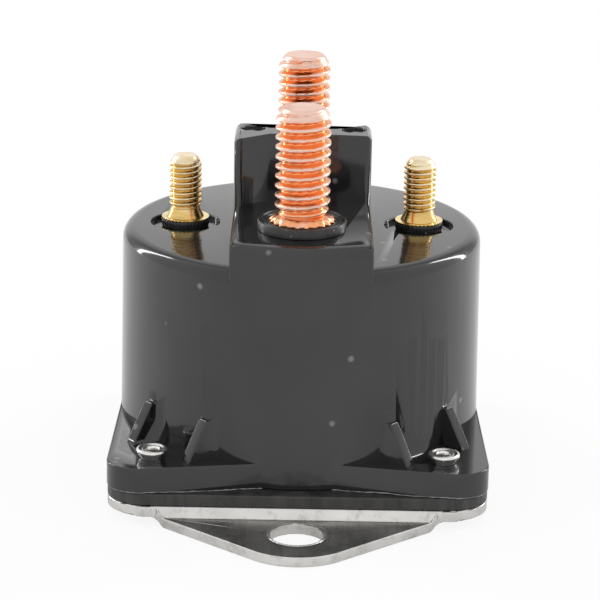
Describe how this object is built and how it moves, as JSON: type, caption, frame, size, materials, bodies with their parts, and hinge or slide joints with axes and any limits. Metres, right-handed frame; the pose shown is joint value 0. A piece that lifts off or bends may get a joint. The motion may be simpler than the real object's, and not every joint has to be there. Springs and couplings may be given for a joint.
{
  "type": "solenoid relay",
  "caption": "Plunger solenoid relay in a round black housing on a riveted flange, with threaded copper contact studs, brass coil studs and a joggled steel mounting plate.",
  "frame": {"origin": "centre of the undersides of the two mounting ears, on the housing's axis", "axes": "+Z along the studs, away from the mounting plate; +Y from the front ear to the rear ear; +X from the left coil stud to the right one"},
  "size_m": [0.0552, 0.0874, 0.0596],
  "materials": {
    "black_moulding": "glossy black phenolic moulding",
    "gasket_rubber": "matt black rubber",
    "zinc_plate": "bright zinc plated sheet steel",
    "tinned_rivet": "tinned tubular rivet",
    "copper": "bright copper",
    "washer_black": "black moulded washer",
    "stud_brass": "machined brass",
    "collar_brass": "bright brass",
    "nylon": "natural nylon",
    "winding_copper": "enamelled copper wire",
    "wrap_paper": "amber insulating tape",
    "frame_steel": "plain low-carbon steel",
    "spring_steel": "spring steel"
  },
  "bodies": {
    "base": {"housing": "black_moulding", "gasket": "gasket_rubber", "mounting_plate": "zinc_plate", "rivets": "tinned_rivet", "main_stud_front": "copper", "main_stud_rear": "copper", "main_washer_front": "washer_black", "main_washer_rear": "washer_black", "coil_stud_left": "stud_brass", "coil_stud_right": "stud_brass", "coil_collar_left": "collar_brass", "coil_collar_right": "collar_brass", "coil_washer_left": "washer_black", "coil_washer_right": "washer_black", "bobbin": "nylon", "coil_winding": "winding_copper", "coil_wrap": "wrap_paper", "flux_can": "frame_steel", "flux_plate": "frame_steel", "fixed_core": "frame_steel", "guide_sleeve": "stud_brass", "lead_strap_left": "copper", "lead_strap_right": "copper", "bump_pad": "gasket_rubber", "return_spring": "spring_steel"},
    "plunger": {"plunger": "frame_steel", "push_rod": "stud_brass", "spring_seat": "spring_steel", "retaining_clip": "spring_steel", "contact_spring": "spring_steel"},
    "contact": {"contact_bush": "nylon", "contact_bar": "copper", "contact_washer": "nylon"}
  },
  "joints": [
    {"name": "plunger_slide", "type": "slide", "parent": "base", "child": "plunger", "axis": [0, 0, 1], "range_m": [0, 0.0023], "stiffness_N_per_m": 900, "springref_m": -0.003, "deforming": ["return_spring"]},
    {"name": "contact_slide", "type": "slide", "parent": "base", "child": "contact", "axis": [0, 0, 1], "range_m": [0, 0.0018], "deforming": ["contact_spring"]}
  ],
  "couplings": [
    {"joint": "contact_slide", "follows": "plunger_slide", "ratio": 0.7826}
  ]
}
